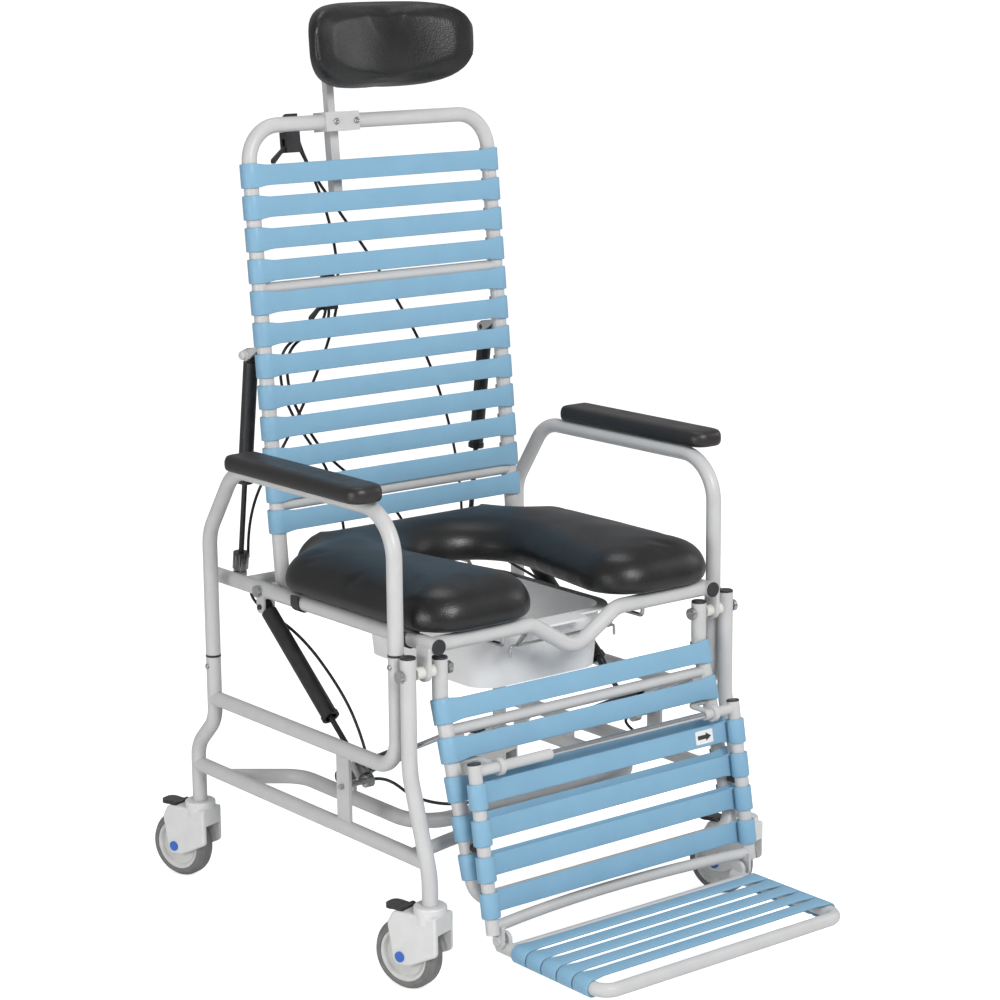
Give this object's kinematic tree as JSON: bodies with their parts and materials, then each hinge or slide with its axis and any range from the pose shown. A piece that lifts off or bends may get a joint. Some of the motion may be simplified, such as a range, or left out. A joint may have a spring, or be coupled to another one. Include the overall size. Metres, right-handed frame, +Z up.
{
  "type": "tilting shower commode chair",
  "caption": "Wheeled shower commode chair with a tilting seat, reclining strapped back, elevating leg rest, flip-up footplate, lift-off arms and a sliding pan.",
  "frame": {"origin": "middle of the overall box at floor level", "axes": "+Z up, the chair faces -Y, +X to the sitter's left"},
  "size_m": [0.674, 0.9482, 1.312],
  "materials": {
    "white_tube": "white powder coat, satin",
    "blue_vinyl": "satin vinyl band",
    "black_vinyl": "grained black vinyl",
    "pad_foam": "self-skinned foam, satin",
    "black_plastic": "satin moulding",
    "zinc": "zinc plate",
    "bushing_plastic": "natural nylon",
    "pan_plastic": "translucent white",
    "black_paint": "black satin",
    "chrome_rod": "polished",
    "cable_sheath": "black cable sheath",
    "caster_plastic": "moulded nylon",
    "tyre_grey": "grey non-marking tread"
  },
  "bodies": {
    "base": {"side_frame_left": "white_tube", "side_frame_right": "white_tube", "base_cross_tubes": "white_tube", "frame_caps": "black_plastic", "pivot_bolts": "zinc", "lower_cables": "cable_sheath"},
    "arm_left": {"arm_frame_left": "white_tube", "arm_pad_left": "pad_foam"},
    "arm_right": {"arm_frame_right": "white_tube", "arm_pad_right": "pad_foam"},
    "buttons_left": {"arm_buttons_left": "zinc"},
    "buttons_right": {"arm_buttons_right": "zinc"},
    "seat": {"seat_frame": "white_tube", "seat_end_caps": "black_plastic", "seat_cushion": "black_vinyl", "cushion_clips": "black_plastic", "pan_rack": "zinc", "back_pivot_bolts": "zinc", "pivot_bushings": "bushing_plastic"},
    "pan": {"commode_pan": "pan_plastic"},
    "back": {"back_frame": "white_tube", "back_straps": "blue_vinyl", "headrest_clamp": "white_tube", "lever_mounts": "black_plastic", "recline_cables": "cable_sheath", "tilt_cables": "cable_sheath"},
    "headrest": {"headrest_post": "white_tube", "headrest_cushion": "black_vinyl"},
    "recline_trigger": {"recline_lever": "black_plastic"},
    "tilt_trigger": {"tilt_lever": "black_plastic"},
    "recline_barrels": {"recline_spring_barrels": "black_paint"},
    "recline_rods": {"recline_spring_rods": "chrome_rod"},
    "tilt_barrels": {"tilt_spring_barrels": "black_paint"},
    "tilt_rods": {"tilt_spring_rods": "chrome_rod"},
    "leg_barrels": {"leg_spring_barrels": "black_paint"},
    "leg_rods": {"leg_spring_rods": "chrome_rod"},
    "legrest": {"legrest_frame": "white_tube", "legrest_straps": "blue_vinyl", "legrest_caps": "black_plastic"},
    "panel": {"panel_frame": "white_tube", "panel_straps": "blue_vinyl", "panel_caps": "black_plastic", "latch_sleeve": "white_tube"},
    "latch": {"latch_rod": "chrome_rod"},
    "footplate": {"foot_frame": "white_tube", "foot_straps": "blue_vinyl"},
    "caster_front_left": {"caster_front_left": "caster_plastic"},
    "wheel_front_left": {"wheel_front_left": "tyre_grey"},
    "pedal_front_left": {"pedal_front_left": "black_plastic"},
    "caster_front_right": {"caster_front_right": "caster_plastic"},
    "wheel_front_right": {"wheel_front_right": "tyre_grey"},
    "pedal_front_right": {"pedal_front_right": "black_plastic"},
    "caster_rear_left": {"caster_rear_left": "caster_plastic"},
    "wheel_rear_left": {"wheel_rear_left": "tyre_grey"},
    "pedal_rear_left": {"pedal_rear_left": "black_plastic"},
    "caster_rear_right": {"caster_rear_right": "caster_plastic"},
    "wheel_rear_right": {"wheel_rear_right": "tyre_grey"},
    "pedal_rear_right": {"pedal_rear_right": "black_plastic"}
  },
  "joints": [
    {"name": "arm_left_lift", "type": "slide", "parent": "base", "child": "arm_left", "axis": [0, 0, 1], "range_m": [0, 0.12]},
    {"name": "arm_right_lift", "type": "slide", "parent": "base", "child": "arm_right", "axis": [0, 0, 1], "range_m": [0, 0.12]},
    {"name": "arm_left_buttons", "type": "slide", "parent": "base", "child": "buttons_left", "axis": [1, 0, 0], "range_m": [0, 0.004], "stiffness_N_per_m": 900},
    {"name": "arm_right_buttons", "type": "slide", "parent": "base", "child": "buttons_right", "axis": [-1, 0, 0], "range_m": [0, 0.004], "stiffness_N_per_m": 900},
    {"name": "seat_tilt", "type": "hinge", "parent": "base", "child": "seat", "pos_m": [0, -0.1486, 0.435], "axis": [-1, 0, 0], "range_deg": [0, 15], "deforming": ["lower_cables"]},
    {"name": "pan_slide", "type": "slide", "parent": "seat", "child": "pan", "axis": [0, 1, 0], "range_m": [0, 0.3]},
    {"name": "back_recline", "type": "hinge", "parent": "seat", "child": "back", "pos_m": [0, 0.2564, 0.47], "axis": [-1, 0, 0], "range_deg": [0, 36], "deforming": ["recline_cables", "tilt_cables"]},
    {"name": "headrest_height", "type": "slide", "parent": "back", "child": "headrest", "axis": [0, 0.0958, 0.9954], "range_m": [-0.03, 0.08]},
    {"name": "recline_lever_squeeze", "type": "hinge", "parent": "back", "child": "recline_trigger", "pos_m": [-0.138, 0.32641, 1.1032], "axis": [0, 0.9954, -0.0958], "range_deg": [0, 18], "stiffness_Nm_per_rad": 0.8},
    {"name": "tilt_lever_squeeze", "type": "hinge", "parent": "back", "child": "tilt_trigger", "pos_m": [-0.094, 0.30413, 0.87178], "axis": [0, 0.9954, -0.0958], "range_deg": [0, 18], "stiffness_Nm_per_rad": 0.8},
    {"name": "recline_barrel_swing", "type": "hinge", "parent": "back", "child": "recline_barrels", "pos_m": [0, 0.32492, 0.80598], "axis": [-1, 0, 0], "range_deg": [-8, 8]},
    {"name": "recline_rod_swing", "type": "hinge", "parent": "seat", "child": "recline_rods", "pos_m": [0, 0.3724, 0.47], "axis": [-1, 0, 0], "range_deg": [0, 50]},
    {"name": "tilt_barrel_swing", "type": "hinge", "parent": "seat", "child": "tilt_barrels", "pos_m": [0, 0.2554, 0.446], "axis": [-1, 0, 0], "range_deg": [-20, 20]},
    {"name": "tilt_rod_swing", "type": "hinge", "parent": "base", "child": "tilt_rods", "pos_m": [0, 0.0064, 0.242], "axis": [-1, 0, 0], "range_deg": [-20, 25]},
    {"name": "leg_barrel_swing", "type": "hinge", "parent": "base", "child": "leg_barrels", "pos_m": [0, 0.1134, 0.215], "axis": [-1, 0, 0], "range_deg": [-30, 30]},
    {"name": "leg_rod_swing", "type": "hinge", "parent": "legrest", "child": "leg_rods", "pos_m": [0, -0.1406, 0.338], "axis": [-1, 0, 0], "range_deg": [-90, 90]},
    {"name": "legrest_elevate", "type": "hinge", "parent": "base", "child": "legrest", "pos_m": [0, -0.1486, 0.435], "axis": [-1, 0, 0], "range_deg": [0, 40]},
    {"name": "panel_swing", "type": "hinge", "parent": "legrest", "child": "panel", "pos_m": [0, -0.22375, 0.30764], "axis": [-1, 0, 0], "range_deg": [0, 45]},
    {"name": "latch_slide", "type": "slide", "parent": "panel", "child": "latch", "axis": [1, 0, 0], "range_m": [0, 0.012], "stiffness_N_per_m": 500},
    {"name": "footplate_flip", "type": "hinge", "parent": "panel", "child": "footplate", "pos_m": [0, -0.26023, 0.0784], "axis": [-1, 0, 0], "range_deg": [0, 80]},
    {"name": "swivel_front_left", "type": "hinge", "parent": "base", "child": "caster_front_left", "pos_m": [-0.289, -0.1906, 0.125], "axis": [0, 0, 1], "continuous": true},
    {"name": "roll_front_left", "type": "hinge", "parent": "caster_front_left", "child": "wheel_front_left", "pos_m": [-0.30012, -0.15636, 0.05], "axis": [0.9511, 0.309, 0], "continuous": true},
    {"name": "brake_front_left", "type": "hinge", "parent": "caster_front_left", "child": "pedal_front_left", "pos_m": [-0.30136, -0.15256, 0.111], "axis": [-0.9511, -0.309, 0], "range_deg": [0, 12]},
    {"name": "swivel_front_right", "type": "hinge", "parent": "base", "child": "caster_front_right", "pos_m": [0.289, -0.1906, 0.125], "axis": [0, 0, 1], "continuous": true},
    {"name": "roll_front_right", "type": "hinge", "parent": "caster_front_right", "child": "wheel_front_right", "pos_m": [0.27788, -0.15636, 0.05], "axis": [0.9511, 0.309, 0], "continuous": true},
    {"name": "brake_front_right", "type": "hinge", "parent": "caster_front_right", "child": "pedal_front_right", "pos_m": [0.27664, -0.15256, 0.111], "axis": [-0.9511, -0.309, 0], "range_deg": [0, 12]},
    {"name": "swivel_rear_left", "type": "hinge", "parent": "base", "child": "caster_rear_left", "pos_m": [-0.289, 0.3904, 0.125], "axis": [0, 0, 1], "continuous": true},
    {"name": "roll_rear_left", "type": "hinge", "parent": "caster_rear_left", "child": "wheel_rear_left", "pos_m": [-0.30012, 0.42464, 0.05], "axis": [0.9511, 0.309, 0], "continuous": true},
    {"name": "brake_rear_left", "type": "hinge", "parent": "caster_rear_left", "child": "pedal_rear_left", "pos_m": [-0.30136, 0.42844, 0.111], "axis": [-0.9511, -0.309, 0], "range_deg": [0, 12]},
    {"name": "swivel_rear_right", "type": "hinge", "parent": "base", "child": "caster_rear_right", "pos_m": [0.289, 0.3904, 0.125], "axis": [0, 0, 1], "continuous": true},
    {"name": "roll_rear_right", "type": "hinge", "parent": "caster_rear_right", "child": "wheel_rear_right", "pos_m": [0.27788, 0.42464, 0.05], "axis": [0.9511, 0.309, 0], "continuous": true},
    {"name": "brake_rear_right", "type": "hinge", "parent": "caster_rear_right", "child": "pedal_rear_right", "pos_m": [0.27664, 0.42844, 0.111], "axis": [-0.9511, -0.309, 0], "range_deg": [0, 12]}
  ],
  "couplings": [
    {"joint": "recline_rod_swing", "follows": "back_recline", "ratio": 1.0484},
    {"joint": "recline_barrel_swing", "follows": "back_recline", "ratio": 0.04836},
    {"joint": "tilt_rod_swing", "follows": "seat_tilt", "ratio": 1.0907},
    {"joint": "tilt_barrel_swing", "follows": "seat_tilt", "ratio": 0.0907},
    {"joint": "leg_barrel_swing", "follows": "legrest_elevate", "ratio": -0.06872},
    {"joint": "leg_rod_swing", "follows": "legrest_elevate", "ratio": -1.0687}
  ]
}
